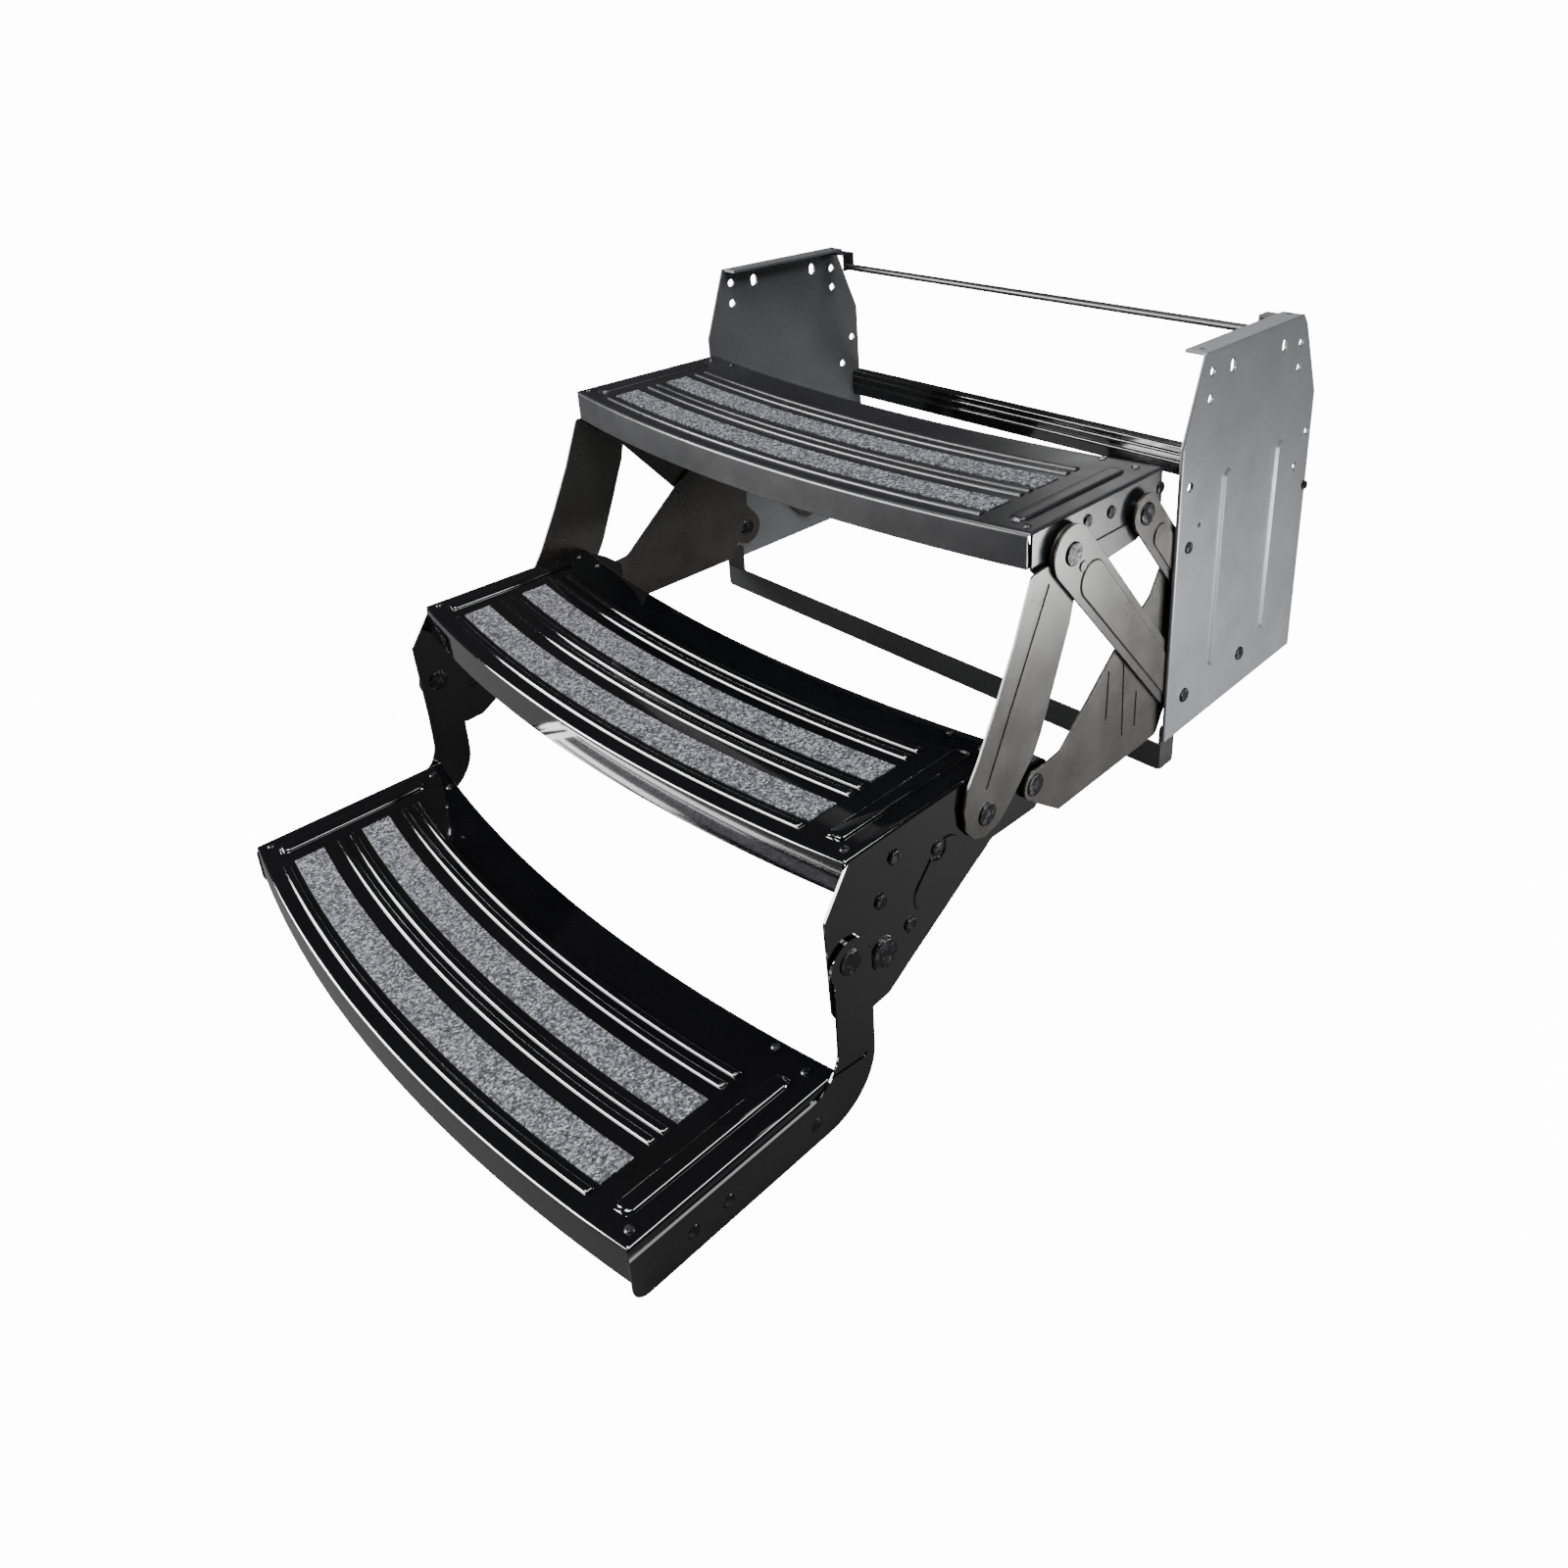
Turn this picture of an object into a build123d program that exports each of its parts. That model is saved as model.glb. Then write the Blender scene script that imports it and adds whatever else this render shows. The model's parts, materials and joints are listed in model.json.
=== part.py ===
"""Camper entry step: three folding treads on links between two housing plates.

Millimetres, +Z up, +X to the right, -Y towards the person who climbs the steps.
Every (y, z) place below is measured from the lower front corner of a housing plate.
The parts are written with the origin in the middle of the two mounting flanges.
"""
from build123d import *
from math import atan2, cos, hypot, sin, sqrt
import os

# Housing plates
housing_width = 631.0
plate_thickness = 3.0
plate_height = 365.0
plate_depth = 250.0
plate_nose_height = 288.0
plate_top_front = 28.0
plate_top_rear = 207.0
plate_foot_inset = 2.0
plate_corner_cut = (8.0, 10.0)
plate_shoulder_inset = 4.0
plate_shoulder_drop = 82.0
plate_corner_radius = 1.5
flange_depth = 22.0
flange_end_inset = 2.0
bead_width = 14.0
bead_height = 2.2
bead_slope = 50.0
bead_foot, bead_head_drop = 50.0, 115.0
bead_places = (80.0, 180.0)
bolt_hole = 4.5
bolt_hole_spacing = 24.0
front_holes_place = (40.0, 30.0)
rear_holes_place = (204.0, 38.0)
slot_size = (13.5, 9.0)
slot_places = ((75.0, 20.0), (170.0, 22.0))
rear_edge_holes = ((14.0, 121.0), (33.0, 153.0))
nose_hole_place = (16.0, 250.0)
small_hole_place = (36.0, 209.0)
small_hole = 2.5
stud_place = (20.0, 192.5)
stud_radius = 3.0
stud_head_radius = 5.5
flange_hole_place = 40.0

# Sheet metal stack from the housing plate inwards
head_height = 1.8
head_gap = 0.8
link_thickness = 2.2
inner_head_height = 1.4
inner_head_gap = 0.5
arm_thickness = 2.0
fold_plate_thickness = 2.0
step_plate_thickness = 2.2
moving_gap = 0.4
face_gap = 0.1
edge_inset = 0.3
cut_margin = 1.0

# Treads
tread_depth = 188.0
tread_bow = 28.0
tread_sheet = 2.0
front_lip = 30.0
rear_lip = 20.0
lip_return = 9.0
edge_radius = 3.5
top_corner = (-191.0, 271.6)
rise = 177.5
run = 203.1
ridge_offsets = (13.0, 64.0, 75.5, 127.0, 140.0)
ridge_width = 6.8
ridge_height = 2.4
ridge_crown = 2.1
strip_offsets = (24.5, 88.5)
strip_width = 27.0
strip_height = 0.9
pattern_end_gap = 52.0
end_rib_from_end = 25.5
end_rib_width = 15.0
end_rib_front, end_rib_rear = 12.0, 31.0
tread_rivet_radius = 3.6
tread_rivet_head = 1.4
front_rivet_place = (11.0, 10.0)
rear_rivet_places = ((18.0, 18.0), (52.0, 17.0))

# Pivots, as (y, z) from the plate corner, a tread's front corner or another pivot
front_pivot = (31.5, 39.0)
link_base = 104.5
top_pivot_from_corner = (44.0, -28.6)
leg_pivot_from_corner = (148.1, -39.1)
brace_pivot_from_corner = (210.1, -45.1)
fold_pivot_from_corner = (-1.9, -84.1)
stop_from_fold_pivot = (36.3, -18.0)
arm_pivot_distance = 182.4
pin_radius = 6.0
pin_clearance = 0.05
head_radius = 10.0
housing_head_radius = 7.0
spacer_radius = 9.5
stop_radius = 13.5

# Links
front_link_radius = 24.0
front_link_foot_radius = 21.0
rear_link_radius = 18.0
panel_inset = 7.0
panel_end_gap = 18.0
panel_height = 1.4
panel_flat_margin = 2.0
dimple_distance = 20.0
dimple_radius = 4.5
dimple_height = 1.2

# Drop leg: share of the way from the leg pivot to the top pivot, and offset to the front
leg_outline = ((0.93, 23.0), (0.88, 39.5), (0.64, 34.5), (0.41, 33.0), (0.19, 33.5), (0.08, 36.0),
               (0.0, 31.0), (-0.07, 20.0), (-0.1, 6.0), (-0.09, -8.0), (-0.03, -22.0), (0.058, -29.5),
               (0.147, -35.5), (0.235, -41.0), (0.31, -41.5), (0.51, -38.0), (0.75, -33.0), (0.93, -23.0))
leg_head_radius = 23.0
leg_corner_radius = 4.0
leg_crease = ((0.1, 13.0), (0.86, 15.0))
crease_width = 5.0
crease_depth = 0.9

# Brace plate: share of the way from the brace pivot to the arm pivot, and offset upwards
brace_outline = ((0.025, 12.9), (0.072, 4.5), (0.155, -5.6), (0.562, 6.4), (0.824, 4.9), (0.967, 21.2),
                 (1.086, 5.7), (1.056, -18.3), (0.787, -105.7), (0.567, -135.3), (0.024, -54.5),
                 (-0.048, -10.5))
brace_eye = 14.0
brace_corner_radius = 6.0
brace_creases = (((0.49, -4.0), (0.386, -40.5)), ((0.585, -11.2), (0.414, -80.3)),
                 ((0.563, -62.4), (0.488, -90.2)))

# Step side plates, as places from a tread's front or rear corner
top_plate_front = ((3.0, -31.6), (23.0, -51.6), (51.0, -60.6))
top_plate_rear = ((-39.0, -54.6), (-2.0, -31.6))
top_bead = ((-100.0, -38.0), (-56.0, -38.0))
top_bead_width = 8.0
top_stud_places = ((75.0, -13.5), (108.0, -16.5))
top_rear_stud_place = (-6.0, -17.5)
middle_plate_outline = ((-22.0, -39.0), (-19.0, -122.0), (-10.0, -140.0), (22.0, -144.0), (39.0, -143.0),
                        (64.0, -128.0), (136.0, -86.0), (153.0, -77.0), (160.0, -72.0), (218.0, -74.0),
                        (231.0, -60.0), (231.0, -34.0), (214.0, -20.0))
middle_boss = ((104.0, -56.0), (86.0, -76.0))
middle_boss_radius = 18.0
boss_height = 1.2
middle_bolt_places = ((48.0, -23.6), (95.0, -44.0), (33.0, -54.0), (63.5, -94.6))
middle_bolt_head = 2.0
side_plate_radius = 2.0

# Arm of the bottom step
fold_plate_top, fold_plate_bottom = 8.0, 47.0
fold_plate_front = 1.0
fold_arm_front, fold_arm_rear = 16.0, 21.0
fold_eye = 19.0
fold_elbow_inner, fold_elbow_outer = 30.0, 48.0
fold_front_radius = 12.0
fold_crease = ((-36.0, -87.0), (10.0, -94.0))
shelf_width = 22.0
shelf_end_inset = 15.0
fold_rivet_drop = 28.0
fold_rivet_radius = 5.0
fold_rivet_edge = 0.6
fold_rivet_places = (48.0, 78.0, 160.0)

# Cross members
front_bar_place = (13.0, -16.5)
front_bar_size = (24.0, 27.0)
bar_wall = 2.5
channel_rear_inset = 8.0
channel_height_place = 182.0
rear_channel_size = (15.0, 33.0)
channel_bolt_lift = 4.0
channel_rib_lifts = (8.0, -1.5)
channel_rib_radius = 2.2
channel_edge_radius = 2.0
bracket_width = 24.0
bracket_top = 16.0
bracket_radius = 3.0
top_bar_inset = 7.0
top_bar_drop = 20.0
top_bar_radius = 4.0
top_bar_tab_width = 17.0
top_bar_tab_length = 36.0
bolt_radius = 4.0
bolt_head_radius = 6.5
bolt_edge = 0.8
channel_bolt_radius = 2.5
channel_head_radius = 4.7
channel_bolt_head = 3.2
nut_height = 4.0
head_edge_share = 0.4
pressed_edge_share = 0.7
bend_share = 0.7

# Places worked out from the sizes above
housing_in = housing_width / 2 - plate_thickness
housing_out = housing_width / 2
link_out = housing_in - head_gap - head_height
link_in = link_out - link_thickness
arm_out = link_in - inner_head_height - inner_head_gap
arm_in = arm_out - arm_thickness
fold_out = arm_in - moving_gap
fold_in = fold_out - fold_plate_thickness
tread_half = fold_in - moving_gap
step_out = tread_half - edge_inset
step_in = step_out - step_plate_thickness
pattern_half = tread_half - pattern_end_gap
flange_middle = (plate_top_front + plate_top_rear) / 2
flange_under = plate_height - plate_thickness
rear_channel_place = (plate_depth - channel_rear_inset, channel_height_place)
channel_web_rear = rear_channel_place[0] - rear_channel_size[0] / 2 + bar_wall
channel_bolt = (channel_web_rear + channel_head_radius + edge_inset, channel_height_place + channel_bolt_lift)
top_bar_place = (plate_top_rear - top_bar_inset, plate_height - top_bar_drop)
origin_shift = Pos(0, -flange_middle, -plate_height)
sides = (("right", 1), ("left", -1))


def moved(*places):
    return (sum(place[0] for place in places), sum(place[1] for place in places))


def placed(base, offsets):
    return [moved(base, offset) for offset in offsets]


def along(a, b, distance):
    """The point at a distance from a towards b."""
    share = distance / hypot(b[0] - a[0], b[1] - a[1])
    return (a[0] + share * (b[0] - a[0]), a[1] + share * (b[1] - a[1]))


def beside(a, b, share, offset):
    """The point at a share of the way from a to b, moved sideways to the left of that way."""
    way_y, way_z = b[0] - a[0], b[1] - a[1]
    length = hypot(way_y, way_z)
    return (a[0] + share * way_y - offset * way_z / length, a[1] + share * way_z + offset * way_y / length)


middle_corner = moved(top_corner, (-run, -rise))
bottom_corner = moved(middle_corner, (-run, -rise))
rear_pivot = moved(front_pivot, (link_base, 0))
top_front_pivot = moved(top_corner, top_pivot_from_corner)
top_rear_pivot = moved(top_front_pivot, (link_base, 0))
arm_pivot = along(rear_pivot, top_rear_pivot, arm_pivot_distance)
leg_pivot = moved(middle_corner, leg_pivot_from_corner)
brace_pivot = moved(middle_corner, brace_pivot_from_corner)
fold_pivot = moved(middle_corner, fold_pivot_from_corner)
stop_place = moved(fold_pivot, stop_from_fold_pivot)


# Shapes

def slab(face, x_start, thickness):
    """Sheet metal with its outline in the side view, between two X planes."""
    return extrude(Plane.YZ.offset(x_start) * face, thickness)


def polygon(points, radius=0.0):
    face = make_face(Polyline(*points, close=True))
    return fillet(face.vertices(), radius) if radius else face


def bar_outline(a, radius_a, b, radius_b):
    """Two round ends and their common tangents."""
    length = hypot(b[0] - a[0], b[1] - a[1])
    turn = atan2(b[1] - a[1], b[0] - a[0])
    lean = (radius_a - radius_b) / length
    rise_side = sqrt(1 - lean * lean)
    corners = []
    for place, radius, side in ((a, radius_a, 1), (b, radius_b, 1), (b, radius_b, -1), (a, radius_a, -1)):
        ahead, aside = radius * lean, radius * rise_side * side
        corners.append((place[0] + ahead * cos(turn) - aside * sin(turn),
                        place[1] + ahead * sin(turn) + aside * cos(turn)))
    ends = Pos(*a) * Circle(radius_a) + Pos(*b) * Circle(radius_b)
    return make_face(Polyline(*corners, close=True)) + ends


def disc(place, radius, x_start, thickness):
    return slab(Pos(*place) * Circle(radius), x_start, thickness)


def bore(place):
    """A cut right through the stack for a running pin."""
    return disc(place, pin_radius + pin_clearance, 0, housing_width)


def seat(place):
    """A cut for a pin that is fixed in this piece."""
    return disc(place, pin_radius, 0, housing_width)


def round_hole(place, radius):
    return disc(place, radius, 0, housing_width)


def free_edges(shape, outwards=True):
    """The edges of a piece's outermost face along X, or of its innermost one."""
    return shape.faces().sort_by(Axis.X)[-1 if outwards else 0].edges()


def button(place, x_start, thickness, radius=head_radius, outwards=True):
    """A low round head with an eased edge on its free side."""
    head = disc(place, radius, x_start, thickness)
    return chamfer(free_edges(head, outwards), thickness * head_edge_share)


def raised(face, x_start, height):
    """A pressed place that stands out of a sheet, with sloping sides."""
    form = slab(face, x_start, height)
    return chamfer(free_edges(form), height * pressed_edge_share)


def pin(place, x_inner, x_outer, head_in, head_out):
    """A pin from x_inner to x_outer with a head beyond each end."""
    shaft = disc(place, pin_radius, x_inner, x_outer - x_inner)
    inner = button(place, x_inner - head_in, head_in, outwards=False)
    outer = button(place, x_outer, head_out)
    return shaft + inner + outer


def ring(place, x_start, x_end):
    return disc(place, spacer_radius, x_start, x_end - x_start) - seat(place)


def across(shape, sign):
    return shape if sign > 0 else mirror(shape, about=Plane.YZ)


def both(*shapes):
    """The same pieces on the right and, mirrored, on the left."""
    return Compound([across(shape, sign) for _, sign in sides for shape in shapes])


def save(name, shape):
    export_step(origin_shift * shape, f"parts/{name}.step")


# Treads

bow_radius = (tread_half ** 2 + tread_bow ** 2) / (2 * tread_bow)


def bow_line(half, front):
    """The bowed line at X from -half to half whose outermost point is at Y = front."""
    drop = bow_radius - sqrt(bow_radius ** 2 - half ** 2)
    return ThreePointArc((-half, front + drop), (0, front), (half, front + drop))


def bow_band(half, front, rear):
    near = bow_line(half, front)
    far = bow_line(half, rear)
    return make_face([near, far, Line(near @ 0, far @ 0), Line(near @ 1, far @ 1)])


def ridges(corner):
    """The raised ribs that run along a tread, with round crowns."""
    forms = []
    for offset in ridge_offsets:
        front = corner[0] - tread_bow + offset
        band = bow_band(pattern_half, front, front + ridge_width)
        ridge = Pos(0, 0, corner[1]) * extrude(band, ridge_height)
        forms.append(fillet(ridge.faces().sort_by(Axis.Z)[-1].edges(), ridge_crown))
    return forms


def end_ribs(corner):
    """The short raised rib near each end of a tread."""
    length = tread_depth - end_rib_front - end_rib_rear
    rib = extrude(Rot(0, 0, 90) * SlotOverall(length, end_rib_width), ridge_height)
    rib = fillet(rib.faces().sort_by(Axis.Z)[-1].edges(), ridge_crown)
    middle = corner[0] + end_rib_front + length / 2
    return [Pos(sign * (tread_half - end_rib_from_end), middle, corner[1]) * rib for _, sign in sides]


def tread(corner, half, lip_half, rear_edge_lip, closed_ends=False):
    """A pressed tread: bowed sheet, hanging lips, raised ridges and end ribs.

    The lips stop at lip_half, clear of the side plates under the sheet.
    """
    front = corner[0] - tread_bow
    rear = front + tread_depth
    top = corner[1]
    under = top - front_lip
    sheet = Pos(0, 0, under) * extrude(bow_band(half, front, rear), front_lip)
    sheet = fillet(sheet.faces().sort_by(Axis.Z)[-1].edges(), edge_radius)
    hollow_half = half - tread_sheet if closed_ends else half + cut_margin
    hollow = bow_band(hollow_half, front + tread_sheet, rear - tread_sheet)
    sheet -= Pos(0, 0, under + tread_sheet) * extrude(hollow, front_lip - 2 * tread_sheet)
    mouth = bow_band(hollow_half, front + tread_sheet + lip_return, rear - tread_sheet)
    sheet -= Pos(0, 0, under - cut_margin) * extrude(mouth, tread_sheet + 2 * cut_margin)
    if rear_edge_lip < front_lip:
        shorter = bow_band(half + cut_margin, rear - 2 * tread_sheet, rear + half)
        sheet -= Pos(0, 0, under - cut_margin) * extrude(shorter, front_lip - rear_edge_lip + cut_margin)
    if lip_half < half:
        end = Box(half, 4 * tread_depth, front_lip, align=(Align.MIN, Align.CENTER, Align.MAX))
        for _, sign in sides:
            sheet -= across(Pos(lip_half, front, top - tread_sheet) * end, sign)
    for form in ridges(corner) + end_ribs(corner):
        sheet += form
    return sheet


def grip_strips(corner):
    """The gritty strips that are stuck on a tread, one piece each."""
    front = corner[0] - tread_bow
    strips = []
    for offset in strip_offsets:
        band = bow_band(pattern_half, front + offset, front + offset + strip_width)
        strips.append(Pos(0, 0, corner[1]) * extrude(band, strip_height))
    return Compound(strips)


def tread_rivets(corner):
    """Rivets near the tread's corners, seen as small domes on the sheet."""
    places = [front_rivet_place] + [(end, tread_depth - rear) for end, rear in rear_rivet_places]
    dome = extrude(Circle(tread_rivet_radius), tread_rivet_head)
    dome = chamfer(dome.faces().sort_by(Axis.Z)[-1].edges(), tread_rivet_head * pressed_edge_share)
    return Compound([Pos(sign * (tread_half - from_end), corner[0] + from_front, corner[1]) * dome
                     for _, sign in sides for from_end, from_front in places])


# Housing

def from_top(place):
    """A place given behind the front edge and below the top edge."""
    return (place[0], plate_height - place[1])


def plate_outline():
    cut_y, cut_z = plate_corner_cut
    return ((plate_foot_inset, 0), (0, plate_nose_height), (plate_top_front, plate_height),
            (plate_top_rear, plate_height), (plate_top_rear + cut_y, plate_height - cut_z),
            (plate_depth - plate_shoulder_inset, plate_height - plate_shoulder_drop),
            (plate_depth, plate_foot_inset))


def bead():
    """A pressed upright rib with sloping sides and a round crown."""
    length = plate_height - bead_head_drop - bead_foot
    form = extrude(Rot(0, 0, 90) * SlotOverall(length, bead_width), bead_height, taper=bead_slope)
    return Pos(0, bead_foot + length / 2, 0) * form


def flange_rivet_place():
    return housing_out - flange_depth + bolt_head_radius + plate_thickness


def housing_plate():
    plate = slab(polygon(plate_outline(), plate_corner_radius), housing_in, plate_thickness)
    flange_length = plate_top_rear - plate_top_front - 2 * flange_end_inset
    plate += Pos(housing_out - flange_depth / 2, flange_middle, plate_height - plate_thickness / 2) * Box(
        flange_depth, flange_length, plate_thickness)
    bend = plate.edges().filter_by(Axis.Y).sort_by(lambda e: e.center().X + e.center().Z)[-1]
    plate = fillet(bend, plate_thickness * bend_share)
    for y in bead_places:
        plate += Plane.YZ.offset(housing_out) * Pos(y, 0, 0) * bead()
    for middle in (from_top(front_holes_place), from_top(rear_holes_place)):
        for step in (-0.5, 0.5):
            plate -= round_hole((middle[0], middle[1] + step * bolt_hole_spacing), bolt_hole)
    for from_rear, drop in rear_edge_holes:
        plate -= round_hole((plate_depth - from_rear, plate_height - drop), bolt_hole)
    for place in slot_places:
        slot = Pos(*from_top(place)) * Rot(0, 0, 90) * SlotOverall(*slot_size)
        plate -= slab(slot, 0, housing_width)
    plate -= round_hole(nose_hole_place, bolt_hole)
    plate -= round_hole(small_hole_place, small_hole)
    plate -= round_hole(stud_place, stud_radius)
    plate -= round_hole(channel_bolt, channel_bolt_radius)
    for place in (front_pivot, rear_pivot):
        plate -= seat(place)
    middle_x = housing_out - flange_depth / 2
    plate -= Pos(middle_x, flange_hole_place, 0) * Cylinder(small_hole, 3 * plate_height)
    return plate - Pos(flange_rivet_place(), top_bar_place[0], 0) * Cylinder(bolt_radius, 3 * plate_height)


def plate_stud():
    """A flat stud riveted near the front edge of a housing plate."""
    return disc(stud_place, stud_radius, housing_in, plate_thickness) + button(
        stud_place, housing_out, head_height, radius=stud_head_radius)


def front_bar():
    """The angle bar across the lower front, with its web upright."""
    y, z = front_bar_place
    depth, height = front_bar_size
    half = housing_in - bar_wall
    front, low = y - depth / 2, z - height / 2
    outline = ((front, low), (front + depth, low), (front + depth, low + bar_wall),
               (front + bar_wall, low + bar_wall), (front + bar_wall, low + height), (front, low + height))
    return slab(polygon(outline), -half, 2 * half)


def front_bracket():
    """The upright strap, welded inside a housing plate, that carries the lower front bar."""
    bottom = front_bar_place[1] - front_bar_size[1] / 2
    front, rear = front_bar_place[0] - bracket_width / 2, front_bar_place[0] + bracket_width / 2
    outline = ((front, bottom), (rear, bottom), (rear, bracket_top), (front, bracket_top))
    return slab(polygon(outline, bracket_radius), housing_in - bar_wall, bar_wall)


def rear_channel():
    """The channel behind the top tread: an upright web with two flanges to the rear."""
    y, z = rear_channel_place
    depth, height = rear_channel_size
    outer = Pos(0, y, z) * Box(2 * housing_in, depth, height)
    inner = Pos(0, y + bar_wall, z) * Box(2 * (housing_in - bar_wall), depth, height - 2 * bar_wall)
    channel = fillet(outer.faces().sort_by(Axis.Y)[0].edges().filter_by(Axis.X), channel_edge_radius) - inner
    rib = Rot(0, 90, 0) * Cylinder(channel_rib_radius, 2 * (housing_in - bar_wall))
    for lift in channel_rib_lifts:
        channel += Pos(0, y - depth / 2, z + lift) * rib
    for _, sign in sides:
        channel -= across(disc(channel_bolt, channel_bolt_radius, step_in, housing_width), sign)
    return channel


def top_bar():
    """The round bar across the upper rear, with ends bent up to lie under the flanges."""
    y, z = top_bar_place
    outer = housing_in - face_gap
    inner = outer - top_bar_tab_length
    bar = slab(Pos(y, z) * Circle(top_bar_radius), -inner - bar_wall, 2 * (inner + bar_wall))
    for _, sign in sides:
        tab = Pos(inner, y, flange_under - bar_wall) * Box(
            top_bar_tab_length, top_bar_tab_width, bar_wall, align=(Align.MIN, Align.CENTER, Align.MIN))
        tab -= Pos(flange_rivet_place(), y, 0) * Cylinder(bolt_radius, 3 * plate_height)
        riser = Pos(inner, y, z - top_bar_radius) * Box(
            bar_wall, top_bar_tab_width, flange_under - z + top_bar_radius,
            align=(Align.MIN, Align.CENTER, Align.MIN))
        bar += across(tab + riser, sign)
    return bar


def top_bar_rivet():
    """A rivet through flange and bar end, flush on top where the flange meets the vehicle."""
    low = flange_under - bar_wall
    shaft = Pos(0, 0, low) * extrude(Circle(bolt_radius), plate_height - low)
    head = Pos(0, 0, low - inner_head_height) * extrude(Circle(stud_head_radius), inner_head_height)
    return Pos(flange_rivet_place(), top_bar_place[0], 0) * (shaft + head)


def channel_bolt_piece():
    """A bolt from inside the housing with its head on the plate's outer face."""
    x_inner = housing_in - bar_wall - nut_height
    shaft = disc(channel_bolt, channel_bolt_radius, x_inner, housing_out - x_inner)
    head = slab(Pos(*channel_bolt) * RegularPolygon(channel_head_radius, 6), housing_out, channel_bolt_head)
    return shaft + chamfer(free_edges(head), bolt_edge)


def channel_nut():
    x_inner = housing_in - bar_wall - nut_height
    nut = slab(Pos(*channel_bolt) * RegularPolygon(channel_head_radius, 6), x_inner, nut_height)
    return nut - round_hole(channel_bolt, channel_bolt_radius)


def housing_pin(place):
    """A pin riveted in the housing plate that carries a link on its inner end."""
    inner_face = link_in - face_gap
    shaft = disc(place, pin_radius, inner_face, housing_out - inner_face)
    outer = button(place, housing_out, head_height, radius=housing_head_radius)
    inner = button(place, inner_face - inner_head_height, inner_head_height, outwards=False)
    return shaft + outer + inner


# Links

def swing_link(foot, foot_radius, head, head_end_radius, flat_places=()):
    """A pressed link with a raised panel, on the housing at its foot and the top step at its head.

    The panel stays flat round a pin that sits in it.
    """
    link = slab(bar_outline(foot, foot_radius, head, head_end_radius), link_in, link_thickness)
    low = along(foot, head, foot_radius + panel_inset)
    high = along(head, foot, head_end_radius + panel_end_gap)
    panel = bar_outline(low, foot_radius - panel_inset, high, head_end_radius - panel_inset)
    pocket = bar_outline(low, foot_radius - panel_inset - panel_height,
                         high, head_end_radius - panel_inset - panel_height)
    for place in flat_places:
        panel -= Pos(*place) * Circle(head_radius + panel_flat_margin)
        pocket -= Pos(*place) * Circle(head_radius + panel_flat_margin + panel_height)
    link += raised(panel, link_out, panel_height)
    return link - slab(pocket, link_in, panel_height) - bore(foot) - bore(head)


def front_link():
    link = swing_link(front_pivot, front_link_foot_radius, top_front_pivot, front_link_radius)
    dimple = along(top_front_pivot, front_pivot, dimple_distance)
    return link + button(dimple, link_out, dimple_height, radius=dimple_radius)


def rear_link():
    link = swing_link(rear_pivot, rear_link_radius, top_rear_pivot, rear_link_radius, (arm_pivot,))
    return link - seat(arm_pivot)


def crease(start, end, x_face):
    """A pressed crease in the outer face of an arm."""
    line = bar_outline(start, crease_width / 2, end, crease_width / 2)
    return slab(line, x_face - crease_depth, crease_depth + cut_margin)


def drop_leg():
    """The leg that hangs the middle step from the top step's front pivot."""
    outline = [beside(leg_pivot, top_front_pivot, *point) for point in leg_outline]
    leg = slab(polygon(outline, leg_corner_radius), arm_in, arm_thickness)
    leg += disc(top_front_pivot, leg_head_radius, arm_in, arm_thickness)
    start, end = [beside(leg_pivot, top_front_pivot, *point) for point in leg_crease]
    return leg - crease(start, end, arm_out) - bore(top_front_pivot) - bore(leg_pivot)


def brace_plate():
    """The wide plate from the rear link down to the rear of the middle step."""
    outline = [beside(brace_pivot, arm_pivot, *point) for point in brace_outline]
    plate = slab(polygon(outline, brace_corner_radius), arm_in, arm_thickness)
    plate += disc(brace_pivot, brace_eye, arm_in, arm_thickness)
    for points in brace_creases:
        start, end = [beside(brace_pivot, arm_pivot, *point) for point in points]
        plate -= crease(start, end, arm_out)
    return plate - bore(arm_pivot) - seat(brace_pivot)


# Step side plates

def hanging_outline(corner, points, rear_points=()):
    """The outline of a plate that hangs under a tread, closed along the sheet's underside."""
    under = corner[1] - tread_sheet
    rear_corner = moved(corner, (tread_depth, 0))
    return ((corner[0] + edge_radius, under), *placed(corner, points), *placed(rear_corner, rear_points),
            (rear_corner[0] - edge_radius, under))


def top_side_plate():
    outline = hanging_outline(top_corner, top_plate_front, top_plate_rear)
    plate = slab(polygon(outline, side_plate_radius), step_in, step_plate_thickness)
    rear_corner = moved(top_corner, (tread_depth, 0))
    start, end = placed(rear_corner, top_bead)
    plate += raised(bar_outline(start, top_bead_width / 2, end, top_bead_width / 2), step_out, boss_height)
    for place in top_studs():
        plate -= round_hole(place, stud_radius)
    return plate - seat(top_front_pivot) - seat(top_rear_pivot)


def top_studs():
    return placed(top_corner, top_stud_places) + [moved(top_corner, (tread_depth, 0), top_rear_stud_place)]


def step_stud(place):
    """A stud that is riveted in a step's side plate."""
    return disc(place, stud_radius, step_in, step_plate_thickness) + button(
        place, step_out, head_height, radius=stud_head_radius)


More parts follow.
